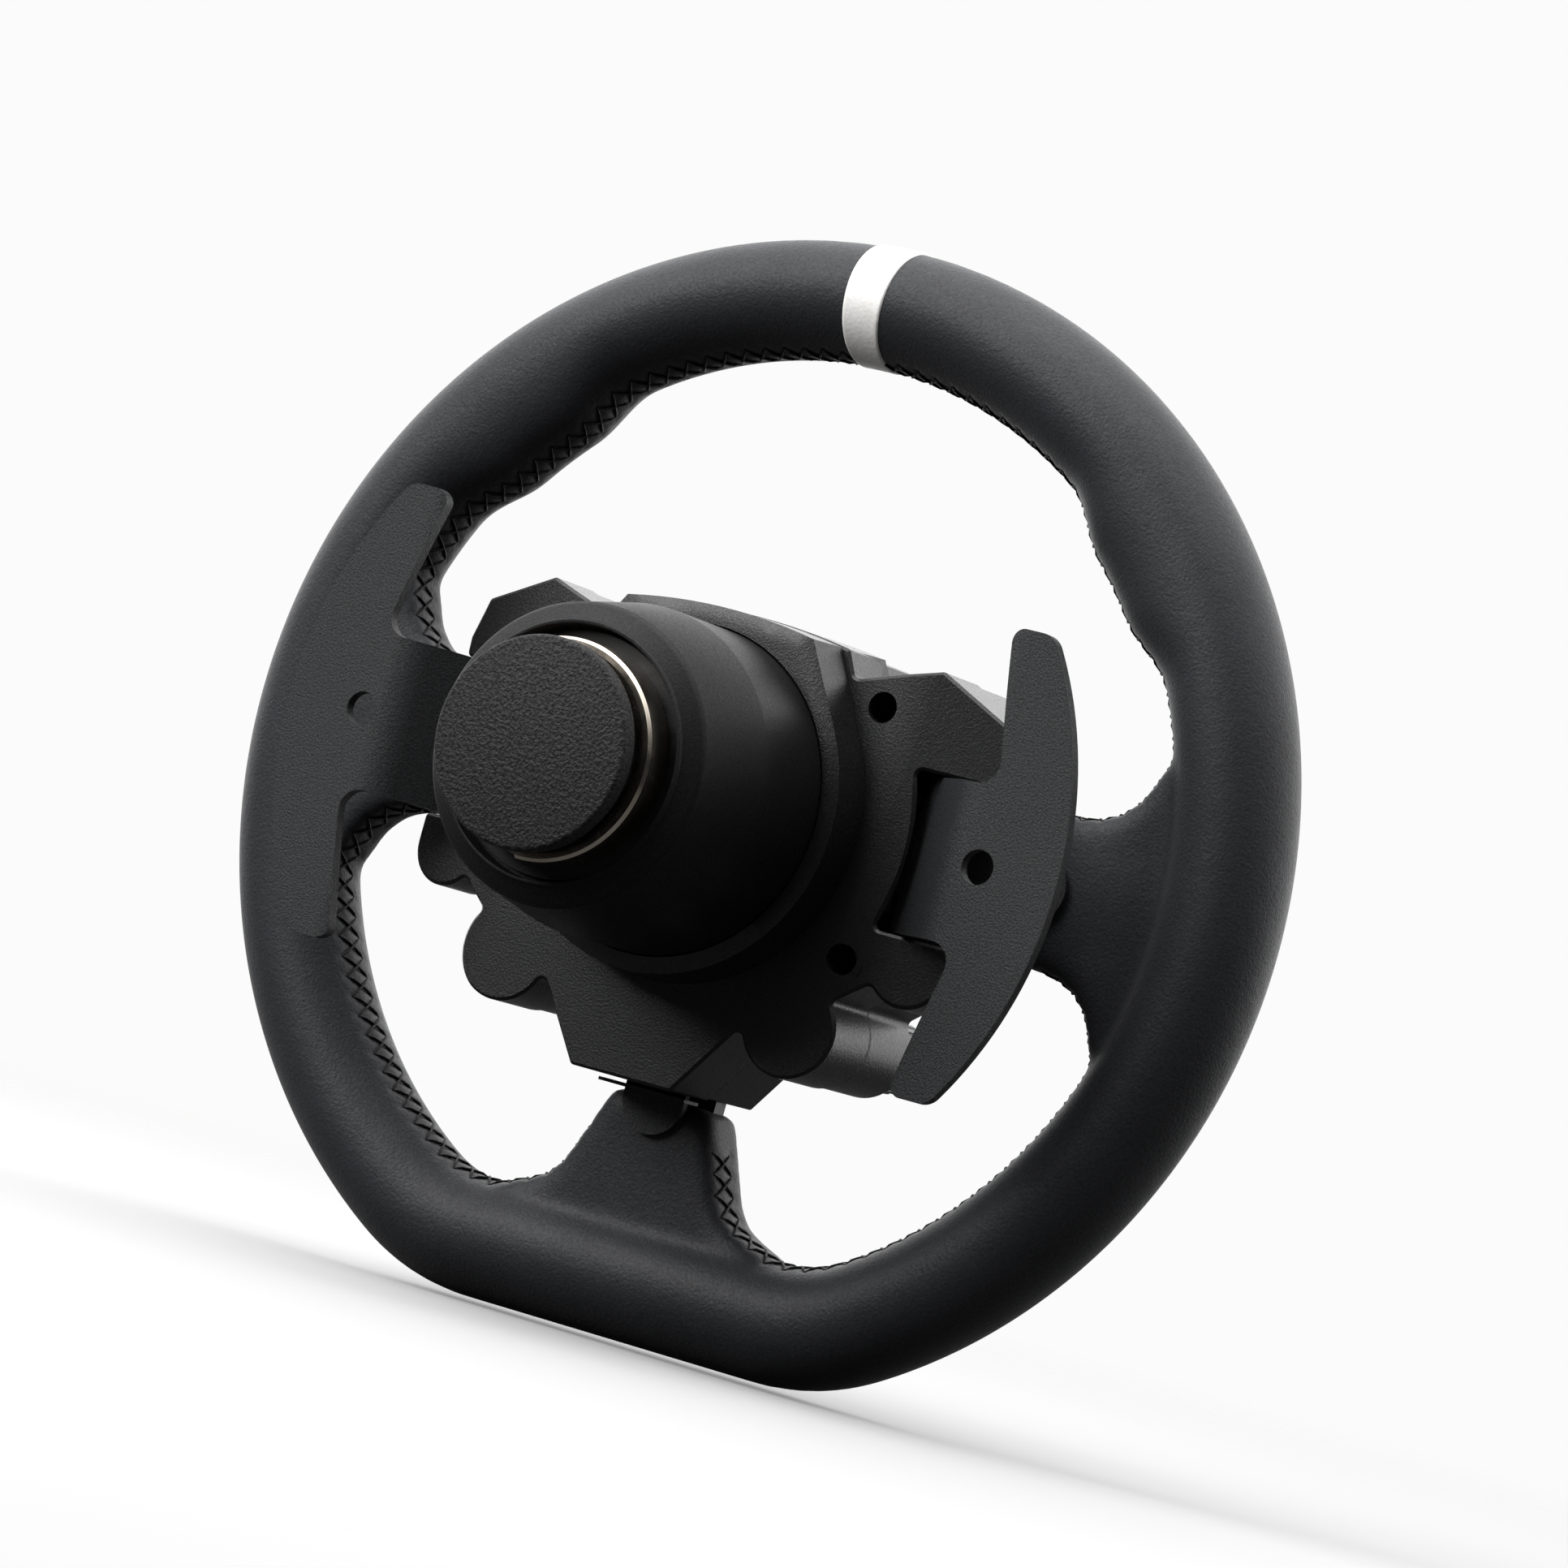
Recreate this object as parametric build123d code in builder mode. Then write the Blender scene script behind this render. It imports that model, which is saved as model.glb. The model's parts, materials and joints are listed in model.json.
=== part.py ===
"""A D-shaped sim-racing wheel with a quick-release coupler and two shift paddles.

X is the driver's right, Y runs along the wheel's axis away from the driver and Z is up. The origin is on the
wheel's axis, in the rear plane of the casing, just inside the inner end of the coupler's bore.
"""
from build123d import *
import math
import os

os.makedirs("parts", exist_ok=True)

# ---- driving dimensions, in millimetres --------------------------------------------------------
RIM_Y = -29.8                  # plane of the rim's centreline
RIM_R = 140.0                  # outer radius of the rim
GRIP_A, GRIP_B = 14.5, 16.0    # half width of the grip, radially and along the axis
FLAT_Z = -114.5                # centreline of the flat bottom
CORNER_R = 45.0                # centreline radius of the two bottom corners
STRIPE_HALF = 5.2              # half width of the white centre stripe
CORE_T, CORE_HALF = 5.0, 6.0   # thickness and half width of the frame's ring
SPOKE_HALF = 18.5              # half height of a leather-wrapped side spoke
SPOKE_END = 81.0               # where the leather of a side spoke ends
SPOKE_T = 18.0                 # thickness of a wrapped spoke
LOW_SPOKE_END = -70.2          # where the leather of the lower spoke ends

WALL = 2.4                     # wall of both casings
SEAM_Y = -18.8                 # front edge of the rear casing
PLATE_Y = -20.8                # front face of the back plate, on the leather of the spokes
FACE_Y = -41.8                 # front face of the front casing
SLOT_HALF, SLOT_R = 19.3, 56.6  # half height and inner radius of a paddle slot
WING_X, WING_FALL = 46.0, 0.17  # the wings fall away from here, by this slope
BIG_LOBE = (39.5, -46.5, 12.0)
SMALL_LOBE = (64.0, -26.4, 9.2)
WELLS = ((41.4, 31.0), (48.2, -28.0))   # screw wells of the rear casing, on each side
WELL_R, WELL_FLOOR = 3.7, -12.0

HOOD_EDGE_Y, HOOD_FACE_Y = 12.1, 13.3   # outer edge and face of the raised hub block
HOOD_R, HOOD_BASE_R = 43.5, 44.6        # radius of its round part at the edge and at the base
MOUTH_R = 39.7                          # opening that the collar slides in

HUB_R, BORE_R = 26.0, 21.0     # quick-release hub: outside and bore
HUB_END = 71.9
FLANGE_R, FLANGE_Y0, FLANGE_Y1 = 40.4, -7.8, -2.4
SCREW_PCD = 70.0               # six M5 screws that carry the hub
BORE_START, BORE_STOP = -2.0, 48.0
BALL_Y, BALL_R, BALL_AT = 54.2, 3.0, 23.0
BALLS = 6
COLLAR_TRAVEL = 7.0
BALL_TRAVEL = 1.2
COLLAR_R, COLLAR_START, TAPER_START = 39.3, 6.2, 39.9
CAP_R, CAP_FACE_Y = 24.8, 81.5

PADDLE_Y, PADDLE_T = 17.1, 3.0  # rear face and thickness of the paddle plates
PADDLE_ARM = 18.8               # half height of the arm
PADDLE_ARC_X, PADDLE_ARC_R = 8.8, 96.7
PADDLE_TIP_X, PADDLE_TIP_Z = 77.1, 55.4     # inner corner of a blade's tip
PIN_X, PIN_Y, PIN_R = 50.0, -9.5, 1.5
EAR_IN, EAR_OUT = 10.4, 14.4    # the bracket's ears along the hinge pin
BASE_Y = -16.3                  # rear face of a paddle bracket's base

BUTTONS = {"upper_inner": (49.0, 19.5), "upper_outer": (61.5, 28.5),
           "lower_outer": (64.0, -26.4), "lower_inner": (10.6, -56.6)}
BUTTON_R, BUTTON_TOP = 5.0, -46.4
PLATE_FACE = -43.3              # front face of the trim plate on the driver's side
BOARD_Y0, BOARD_Y1 = -35.4, -33.8
STICK_AT, STICK_Y = (60.0, 3.0), -38.0
STICK_HOLE = 6.8
KNOB_AT = (39.5, -46.5)
LIGHT_Z, LIGHT_HALF = 36.0, 26.0
SIDES = {"left": -1, "right": 1}


def along_y(y):
    """A sketch plane square to the axis, at height y, whose x is X and whose y is Z."""
    return Plane(origin=(0, y, 0), x_dir=(1, 0, 0), z_dir=(0, -1, 0))


def save(piece, name):
    piece.label = name
    export_step(piece, f"parts/{name}.step")


def both_sides(point):
    return [(point[0], point[1]), (-point[0], point[1])]


# ---- rim ------------------------------------------------------------------------------------------
CENTRE_R = RIM_R - GRIP_A
corner_z = FLAT_Z + CORNER_R
corner_x = math.sqrt((CENTRE_R - CORNER_R) ** 2 - corner_z ** 2)
tangent_x = corner_x * CENTRE_R / (CENTRE_R - CORNER_R)
tangent_z = corner_z * CENTRE_R / (CENTRE_R - CORNER_R)
stripe_angle = math.degrees(STRIPE_HALF / CENTRE_R)
start_x = CENTRE_R * math.sin(math.radians(stripe_angle))
start_z = CENTRE_R * math.cos(math.radians(stripe_angle))


def d_shape(grow):
    """The D that lies outside the centreline by grow."""
    tx = tangent_x * (1 + grow / CENTRE_R)
    tz = tangent_z * (1 + grow / CENTRE_R)
    low = FLAT_Z - grow
    with BuildSketch() as shape:
        with BuildLine():
            ThreePointArc((tx, tz), (0, CENTRE_R + grow), (-tx, tz))
            TangentArc((-tx, tz), (-corner_x, low), tangent=(-tz, -tx))
            Line((-corner_x, low), (corner_x, low))
            TangentArc((corner_x, low), (tx, tz), tangent=(1, 0))
        make_face()
    return shape.sketch


core_plane = along_y(RIM_Y + CORE_T / 2)
with BuildPart() as rim_core:
    with BuildSketch(core_plane):
        add(d_shape(CORE_HALF))
        add(d_shape(-CORE_HALF), mode=Mode.SUBTRACT)
        Circle(41.0)
        Rectangle(2 * (CENTRE_R - 1), 28.0)
        with Locations((0, FLAT_Z / 2)):
            Rectangle(24.0, -FLAT_Z)
        Circle(20.0, mode=Mode.SUBTRACT)
        with Locations((64.0, 0), (-64.0, 0)):
            SlotOverall(18.0, 9.0, mode=Mode.SUBTRACT)
        with PolarLocations(SCREW_PCD / 2, 6):
            Circle(2.7, mode=Mode.SUBTRACT)
    extrude(amount=CORE_T)
save(rim_core.part, "rim_core")

# Rise above the spoke in degrees, and the grip's inner radius there.
THUMB_SECTIONS = ((25, 113.6), (37, 109.8), (44, 107.3), (51, 109.8), (63, 113.6))


def thumb_rest(side):
    """The swelling on the inside of the grip above a side spoke, where the thumb lies."""
    with BuildPart() as rest:
        for rise, inner in THUMB_SECTIONS:
            along, up = math.cos(math.radians(rise)), math.sin(math.radians(rise))
            outer = RIM_R - 1
            middle = (inner + outer) / 2
            with BuildSketch(Plane(origin=(side * middle * along, RIM_Y, middle * up),
                                   x_dir=(side * along, 0, up), z_dir=(-side * up, 0, along))):
                Ellipse((outer - inner) / 2, GRIP_B - 0.3)
        loft()
    return rest.part


with BuildPart() as rim_grip:
    with BuildLine(Plane(origin=(0, RIM_Y, 0), x_dir=(1, 0, 0), z_dir=(0, -1, 0))) as grip_path:
        RadiusArc((start_x, start_z), (tangent_x, tangent_z), CENTRE_R)
        RadiusArc((tangent_x, tangent_z), (corner_x, FLAT_Z), CORNER_R)
        Line((corner_x, FLAT_Z), (-corner_x, FLAT_Z))
        RadiusArc((-corner_x, FLAT_Z), (-tangent_x, tangent_z), CORNER_R)
        RadiusArc((-tangent_x, tangent_z), (-start_x, start_z), CENTRE_R)
    with BuildSketch(Plane(origin=grip_path.line @ 0, x_dir=(0, 1, 0), z_dir=grip_path.line % 0)):
        Ellipse(GRIP_B, GRIP_A)
    sweep()
    with BuildSketch(along_y(RIM_Y + SPOKE_T / 2)):
        for side in (-1, 1):
            with BuildLine():
                Polyline((side * 93, SPOKE_HALF), (side * SPOKE_END, SPOKE_HALF),
                         (side * SPOKE_END, -SPOKE_HALF), (side * 93, -SPOKE_HALF))
                ThreePointArc((side * 93, -SPOKE_HALF), (side * 104.4, -24.4), (side * 106.2, -37.1))
                Polyline((side * 106.2, -37.1), (side * 112, -37.1), (side * 112, 37.1),
                         (side * 106.2, 37.1))
                ThreePointArc((side * 106.2, 37.1), (side * 104.4, 24.4), (side * 93, SPOKE_HALF))
            make_face()
        with BuildLine():
            Polyline((-14, LOW_SPOKE_END), (14, LOW_SPOKE_END), (24, -98), (34, -104),
                     (-34, -104), (-24, -98), close=True)
        make_face()
    extrude(amount=SPOKE_T)
    add([thumb_rest(-1), thumb_rest(1)])
    add(rim_core.part, mode=Mode.SUBTRACT)
save(rim_grip.part, "rim_grip")

with BuildPart() as rim_stripe:
    with BuildSketch(Plane(origin=(start_x, RIM_Y, start_z), x_dir=(0, 1, 0), z_dir=grip_path.line % 0)):
        Ellipse(GRIP_B, GRIP_A)
    revolve(axis=Axis((0, RIM_Y, 0), (0, 1, 0)), revolution_arc=-2 * stripe_angle)
    add(rim_core.part, mode=Mode.SUBTRACT)
save(rim_stripe.part, "rim_stripe")


# ---- casing ---------------------------------------------------------------------------------------
def hub_block(radius, corner, apex_z):
    """The raised block's outline: a circle with two tangent flanks up to an arched top."""
    x, z = corner
    touch = math.atan2(z, x) - math.acos(radius / math.hypot(x, z))
    tx, tz = radius * math.cos(touch), radius * math.sin(touch)
    with BuildSketch() as block:
        with BuildLine():
            ThreePointArc((x, z), (0, apex_z), (-x, z))
            Line((-x, z), (-tx, tz))
            ThreePointArc((-tx, tz), (0, -radius), (tx, tz))
            Line((tx, tz), (x, z))
        make_face()
    return block.sketch


def casing_outline(slots):
    """The casing's outline seen along the axis, with or without the two paddle slots."""
    with BuildSketch() as outline:
        for side in (-1, 1):
            with BuildLine():
                Polyline((0, -68.2), (side * 13.9, -68.2), (side * 26.2, -50.8), (side * 49.6, -37.2),
                         (side * 58.0, -30.5), (side * 73.2, -26.4), (side * 73.2, -16.0), (side * 77.0, -12.0),
                         (side * 77.0, 12.0), (side * 74.0, 20.0), (side * 74.2, 24.0), (side * 71.6, 34.0),
                         (side * 53.8, 42.6), (side * 33.4, 36.2), (0, 42.0), close=True)
            make_face()
            for x, z, r in (BIG_LOBE, SMALL_LOBE):
                with Locations((side * x, z)):
                    Circle(r)
        add(hub_block(HOOD_BASE_R + 0.6, (28.8, 42.4), 44.8))
        if slots:
            with BuildSketch(mode=Mode.PRIVATE) as slot:
                Rectangle(200, 2 * SLOT_HALF)
                Circle(SLOT_R, mode=Mode.SUBTRACT)
            add(slot.sketch, mode=Mode.SUBTRACT)
    return outline.sketch


def rounded(sketch, concave, convex):
    """Rounds every corner of a sketch: first the inner ones, then the outer ones."""
    closed = offset(offset(sketch, concave), -concave)
    return offset(offset(closed, -convex), convex)


rear_profile = rounded(casing_outline(slots=True), 1.6, 1.4)
front_profile = offset(rounded(casing_outline(slots=False), 1.6, 1.4), -0.5)


def wing_wedges(top):
    """The space above the falling rear faces of the wings."""
    with BuildPart() as wedges:
        with BuildSketch(Plane.XY.offset(-80)):
            for side in (-1, 1):
                with BuildLine():
                    Polyline((side * WING_X, top), (side * 92, top - WING_FALL * (92 - WING_X)),
                             (side * 92, top + 8), (side * WING_X, top + 8), close=True)
                make_face()
        extrude(amount=160)
    return wedges.part


with BuildPart() as rear_cavity:
    with BuildSketch(along_y(-WALL)):
        add(offset(rear_profile, -WALL))
    extrude(amount=-WALL - SEAM_Y)
    add(wing_wedges(-WALL), mode=Mode.SUBTRACT)
    with BuildSketch(along_y(HOOD_FACE_Y - WALL)):
        add(hub_block(HOOD_R - WALL, (24.0, 39.6), 41.6))
    extrude(amount=HOOD_FACE_Y - WALL - SEAM_Y)

with BuildPart() as rear_casing:
    with BuildSketch(along_y(0)):
        add(rear_profile)
    extrude(amount=-SEAM_Y)
    add(wing_wedges(0), mode=Mode.SUBTRACT)
    wings = rear_casing.faces().filter_by(lambda f: abs(f.normal_at().Y) > 0.9 and f.center().Y > -8)
    chamfer(wings.edges().filter_by(lambda e: abs(abs(e.center().X) - WING_X) > 0.01), 0.7)
    with BuildSketch(along_y(SEAM_Y)):
        add(hub_block(HOOD_BASE_R + 1.0, (28.8, 43.0), 45.2))
    with BuildSketch(along_y(HOOD_EDGE_Y)):
        add(hub_block(HOOD_R, (25.6, 41.9), 44.2))
    loft()
    with BuildSketch(along_y(HOOD_EDGE_Y)):
        add(hub_block(HOOD_R, (25.6, 41.9), 44.2))
    with BuildSketch(along_y(HOOD_FACE_Y)):
        add(hub_block(HOOD_R - 3.7, (22.8, 38.6), 40.6))
    loft()
    add(rear_cavity.part, mode=Mode.SUBTRACT)
    well_places = both_sides(WELLS[0]) + both_sides(WELLS[1])
    with BuildSketch(along_y(-1.0)):
        with Locations(*well_places):
            Circle(WELL_R + 1.7)
    extrude(amount=-1.0 - SEAM_Y)
    with BuildSketch(along_y(20)):
        with Locations(*well_places):
            Circle(WELL_R)
    extrude(amount=20 - WELL_FLOOR, mode=Mode.SUBTRACT)
    with BuildSketch(along_y(0)):
        with Locations(*well_places):
            Circle(1.7)
    extrude(amount=-SEAM_Y, mode=Mode.SUBTRACT)
    with BuildSketch(along_y(20)):
        Circle(MOUTH_R)
    extrude(amount=20 - SEAM_Y, mode=Mode.SUBTRACT)
    with BuildSketch(along_y(-WALL)):
        Rectangle(2 * SLOT_R + 6, 2 * SLOT_HALF)
    extrude(amount=-WALL - SEAM_Y, mode=Mode.SUBTRACT)
save(rear_casing.part, "rear_casing")


# ---- back plate and front casing ------------------------------------------------------------------
TAB_R, SIDE_TAB_X, LOW_TAB_Z = 8.3, 82.0, -71.3

with BuildPart() as back_plate:
    with BuildSketch(along_y(SEAM_Y)):
        add(front_profile)
        for side in (-1, 1):
            with Locations((side * SIDE_TAB_X, 0)):
                Circle(TAB_R)
            with Locations((side * (SIDE_TAB_X - 5), 0)):
                Rectangle(10, 2 * TAB_R)
        with Locations((0, LOW_TAB_Z)):
            Circle(TAB_R)
        with Locations((0, LOW_TAB_Z + 5)):
            Rectangle(2 * TAB_R, 10)
        Circle(41.0, mode=Mode.SUBTRACT)
        with Locations(*well_places):
            Circle(1.5, mode=Mode.SUBTRACT)
    extrude(amount=SEAM_Y - PLATE_Y)
    with BuildSketch(along_y(-11.8)):
        with Locations((0, -69.6)):
            Rectangle(24.0, 0.8)
    extrude(amount=-11.8 - SEAM_Y)
save(back_plate.part, "back_plate")

button_places = [p for place in BUTTONS.values() for p in both_sides(place)]

with BuildPart() as front_casing:
    with BuildSketch(along_y(PLATE_Y)):
        add(front_profile)
    extrude(amount=PLATE_Y - FACE_Y)
    with BuildSketch(along_y(PLATE_Y)):
        add(offset(front_profile, -WALL))
    extrude(amount=PLATE_Y - FACE_Y - WALL, mode=Mode.SUBTRACT)
    with BuildSketch(along_y(PLATE_Y)):
        with Locations(*well_places):
            Circle(3.2)
    extrude(amount=PLATE_Y - FACE_Y - 1.0)
    with BuildSketch(along_y(PLATE_Y)):
        with Locations(*well_places):
            Circle(1.35)
    extrude(amount=12.0, mode=Mode.SUBTRACT)
    with BuildSketch(along_y(PLATE_Y)):
        with Locations((75, 0), (-75, 0)):
            Rectangle(14, 28.4)
        with Locations((0, -68)):
            Rectangle(24.4, 14)
    extrude(amount=PLATE_Y - RIM_Y + CORE_T / 2 + 0.2, mode=Mode.SUBTRACT)
    with BuildSketch(along_y(PLATE_Y)):
        with Locations(*button_places):
            Circle(BUTTON_R + 0.3)
        with Locations(*both_sides(STICK_AT)):
            Circle(STICK_HOLE)
        with Locations(*both_sides(KNOB_AT)):
            Circle(3.4)
        with Locations((0, LIGHT_Z)):
            Rectangle(2 * LIGHT_HALF - 4, 4.0)
    extrude(amount=40, mode=Mode.SUBTRACT)
save(front_casing.part, "front_casing")

with BuildPart() as face_plate:
    with BuildSketch(along_y(FACE_Y)):
        add(offset(front_profile, -1.6))
        with Locations(*button_places):
            Circle(7.1, mode=Mode.SUBTRACT)
        with Locations(*both_sides(STICK_AT)):
            Circle(9.0, mode=Mode.SUBTRACT)
        with Locations(*both_sides(KNOB_AT)):
            Circle(3.8, mode=Mode.SUBTRACT)
        with Locations((0, LIGHT_Z)):
            Rectangle(2 * LIGHT_HALF + 0.2, 6.2, mode=Mode.SUBTRACT)
    extrude(amount=FACE_Y - PLATE_FACE)
save(face_plate.part, "face_plate")

with BuildPart() as hub_cover:
    with BuildSketch(along_y(PLATE_FACE)):
        Circle(19.0)
    extrude(amount=3.0)
    chamfer(hub_cover.faces().sort_by(Axis.Y)[0].edges(), 1.2)
    with BuildSketch(along_y(PLATE_FACE - 3.0)):
        Circle(14.5)
        Circle(13.5, mode=Mode.SUBTRACT)
    extrude(amount=-0.6, mode=Mode.SUBTRACT)
save(hub_cover.part, "hub_cover")


# ---- screws ---------------------------------------------------------------------------------------
def screws(places, head_top, head_h, head_r, shank_r, shank_end, socket_r):
    """Screws along Y: a head with a hexagon socket from head_top towards shank_end, then the shank."""
    way = 1 if head_top > shank_end else -1
    with BuildPart() as group:
        with BuildSketch(along_y(head_top)):
            with Locations(*places):
                Circle(head_r)
        extrude(amount=way * head_h)
        with BuildSketch(along_y(head_top)):
            with Locations(*places):
                Circle(shank_r)
        extrude(amount=head_top - shank_end)
        with BuildSketch(along_y(head_top)):
            with Locations(*places):
                RegularPolygon(socket_r, 6)
        extrude(amount=way * head_h * 0.6, mode=Mode.SUBTRACT)
    return group.part


def ring_places(radius, count, first_deg):
    return [(radius * math.cos(math.radians(first_deg + k * 360 / count)),
             radius * math.sin(math.radians(first_deg + k * 360 / count))) for k in range(count)]


save(screws(well_places, WELL_FLOOR + 2.4, 2.4, 3.2, 1.3, -31.0, 1.5), "casing_screws")
frame_places = ring_places(SCREW_PCD / 2, 6, 0)
save(screws(frame_places, RIM_Y - CORE_T / 2 - 2.7, 2.7, 4.6, 2.5, -18.0, 1.8), "frame_screws")

hub_screw_solids = []
for k, (sx, sz) in enumerate(ring_places(SCREW_PCD / 2, 6, 30)):
    with BuildPart() as hub_screw:
        with BuildSketch(Plane.XY):
            with BuildLine():
                Polyline((0, FLANGE_Y1), (4.8, FLANGE_Y1), (2.5, FLANGE_Y1 - 2.4), (2.5, -20.0), (0, -20.0),
                         close=True)
            make_face()
        revolve(axis=Axis.Y)
        with BuildSketch(along_y(FLANGE_Y1)):
            RegularPolygon(1.8, 6)
        extrude(amount=1.8, mode=Mode.SUBTRACT)
    hub_screw_solids.append(Pos(sx, 0, sz) * hub_screw.part)
save(Compound(children=[solid.solid() for solid in hub_screw_solids]), "hub_screws")


# ---- quick release --------------------------------------------------------------------------------
def turned(points):
    """A part turned about the wheel's axis from its half section, given as (radius, y) points."""
    with BuildPart() as piece:
        with BuildSketch(Plane.XY):
            with BuildLine():
                Polyline(*points, close=True)
            make_face()
        revolve(axis=Axis.Y)
    return piece.part


with BuildPart() as hub_spacer:
    with BuildSketch(along_y(FLANGE_Y0)):
        Circle(FLANGE_R)
        Circle(22.0, mode=Mode.SUBTRACT)
        with Locations(*ring_places(SCREW_PCD / 2, 12, 0)):
            Circle(2.5, mode=Mode.SUBTRACT)
    extrude(amount=FLANGE_Y0 - RIM_Y - CORE_T / 2)
save(hub_spacer.part, "hub_spacer")

SHOULDER_R, SHOULDER_Y = 33.0, 16.0
RING_Y0, RING_Y1 = 61.5, 63.0
with BuildPart() as qr_hub:
    add(turned([(24, FLANGE_Y0), (FLANGE_R, FLANGE_Y0), (FLANGE_R, FLANGE_Y1), (SHOULDER_R, FLANGE_Y1),
                (SHOULDER_R, SHOULDER_Y - 1), (SHOULDER_R - 1, SHOULDER_Y), (HUB_R, SHOULDER_Y), (HUB_R, RING_Y0),
                (25, RING_Y0), (25, RING_Y1), (HUB_R, RING_Y1), (HUB_R, HUB_END - 0.7), (HUB_R - 0.7, HUB_END),
                (24, HUB_END), (BORE_R, HUB_END - 3), (BORE_R, 60.4), (21.8, 60.4), (21.8, BORE_STOP),
                (BORE_R, BORE_STOP), (BORE_R, BORE_START), (24, BORE_START)]))
    for k in range(BALLS):
        with BuildSketch(Plane(origin=(0, BALL_Y, 0), z_dir=(math.cos(2 * math.pi * k / BALLS), 0,
                                                            math.sin(2 * math.pi * k / BALLS)))):
            Circle(BALL_R + 0.05)
        extrude(amount=30, mode=Mode.SUBTRACT)
    with BuildSketch(along_y(HUB_END + 1)):
        with Locations((6.0, -24.0)):
            Rectangle(9.0, 8.0)
    extrude(amount=9.0, mode=Mode.SUBTRACT)
    for sx, sz in ring_places(SCREW_PCD / 2, 6, 30):
        with Locations(Plane(origin=(sx, FLANGE_Y1, sz), z_dir=(0, 1, 0))):
            CounterSinkHole(2.5, 4.8, counter_sink_angle=2 * math.degrees(math.atan2(2.3, 2.4)))
save(qr_hub.part, "qr_hub")

SLOPE = BALL_TRAVEL / COLLAR_TRAVEL
LAND_R, CONE_R = HUB_R + 0.05, 26.1
cone_low = BALL_Y - (CONE_R - LAND_R) / SLOPE
COLLAR_STEP = 61.2
SEAT_Y = 46.2
collar = turned([(36.3, COLLAR_START), (COLLAR_R, COLLAR_START), (COLLAR_R, TAPER_START), (35.5, 62.8),
                 (34.8, 63.8), (30.4, 66.5), (30.2, 66.9), (29.9, 66.9), (29.9, COLLAR_STEP),
                 (CONE_R + SLOPE * (COLLAR_STEP - BALL_Y), COLLAR_STEP), (LAND_R, cone_low), (LAND_R, SEAT_Y),
                 (36.3, SEAT_Y)])
save(collar, "release_collar")

with BuildPart() as collar_spring:
    with BuildLine():
        Helix(pitch=7.0, height=26.0, radius=31.0, center=(0, SHOULDER_Y + 1.6, 0), direction=(0, 1, 0))
    spring_line = collar_spring.pending_edges[0] if collar_spring.pending_edges else None
    with BuildSketch(Plane(origin=spring_line @ 0, z_dir=spring_line % 0)):
        Circle(1.1)
    sweep()
save(collar_spring.part, "collar_spring")

with BuildPart() as stop_ring:
    add(turned([(25.1, RING_Y0 + 0.1), (28.8, RING_Y0 + 0.1), (28.8, RING_Y1 - 0.1),
                (25.1, RING_Y1 - 0.1)]))
    with Locations((20, RING_Y0, -18)):
        Box(9, 6, 9, mode=Mode.SUBTRACT)
save(stop_ring.part, "stop_ring")

for k in range(BALLS):
    with BuildPart() as lock_ball:
        with Locations((BALL_AT * math.cos(2 * math.pi * k / BALLS), BALL_Y,
                        BALL_AT * math.sin(2 * math.pi * k / BALLS))):
            Sphere(BALL_R)
    save(lock_ball.part, f"lock_ball_{k + 1}")

save(turned([(0, 62), (20.2, 62), (20.95, 62.8), (20.95, 70), (19, 71), (19, 77), (CAP_R, 77),
             (CAP_R, 80.9), (CAP_R - 0.6, CAP_FACE_Y), (0, CAP_FACE_Y)]), "dust_cap")

contact_places = ring_places(6.0, 6, 0)
with BuildPart() as contact_block:
    with BuildSketch(along_y(-2.5)):
        Circle(23.9)
    extrude(amount=-2.5 - FLANGE_Y0)
    with BuildSketch(along_y(-2.5)):
        Circle(20.0)
    extrude(amount=1.2, mode=Mode.SUBTRACT)
    with BuildSketch(along_y(0)):
        with Locations(*contact_places):
            Circle(1.0)
    extrude(amount=10, mode=Mode.SUBTRACT)
save(contact_block.part, "contact_block")

with BuildPart() as contact_pins:
    with BuildSketch(along_y(-2.2)):
        with Locations(*contact_places):
            Circle(0.6)
    extrude(amount=2.0)
    with BuildSketch(along_y(-3.7)):
        with Locations(*contact_places):
            Circle(1.0)
    extrude(amount=5.5)
save(contact_pins.part, "contact_pins")


# ---- paddles --------------------------------------------------------------------------------------
def mirrored(piece, side):
    return piece if side > 0 else mirror(piece, about=Plane.YZ)


with BuildPart() as blade:
    with BuildSketch(along_y(30)) as blade_shape:
        with BuildLine():
            tip_x = PADDLE_ARC_X + math.sqrt(PADDLE_ARC_R ** 2 - PADDLE_TIP_Z ** 2)
            Polyline((42.5, -6), (42.5, 6), (46.8, 6), (46.8, 10), (54.5, 10), (54.5, PADDLE_ARM),
                     (84.9, PADDLE_ARM), (PADDLE_TIP_X, PADDLE_TIP_Z), (tip_x, PADDLE_TIP_Z))
            ThreePointArc((tip_x, PADDLE_TIP_Z), (PADDLE_ARC_X + PADDLE_ARC_R, 0), (tip_x, -PADDLE_TIP_Z))
            Polyline((tip_x, -PADDLE_TIP_Z), (PADDLE_TIP_X, -PADDLE_TIP_Z), (84.9, -PADDLE_ARM),
                     (54.5, -PADDLE_ARM), (54.5, -10), (46.8, -10), (46.8, -6), (42.5, -6))
        make_face()
        corners = blade_shape.vertices()
        fillet(corners.filter_by(lambda v: abs(v.X - 84.9) < 0.01), 5.0)
        fillet(blade_shape.vertices().filter_by(lambda v: abs(v.X - PADDLE_TIP_X) < 0.01), 3.2)
        fillet(blade_shape.vertices().filter_by(lambda v: abs(v.X - tip_x) < 0.01), 5.0)
        with Locations((84.9, 0)):
            Circle(4.1, mode=Mode.SUBTRACT)
    extrude(amount=60)

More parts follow.
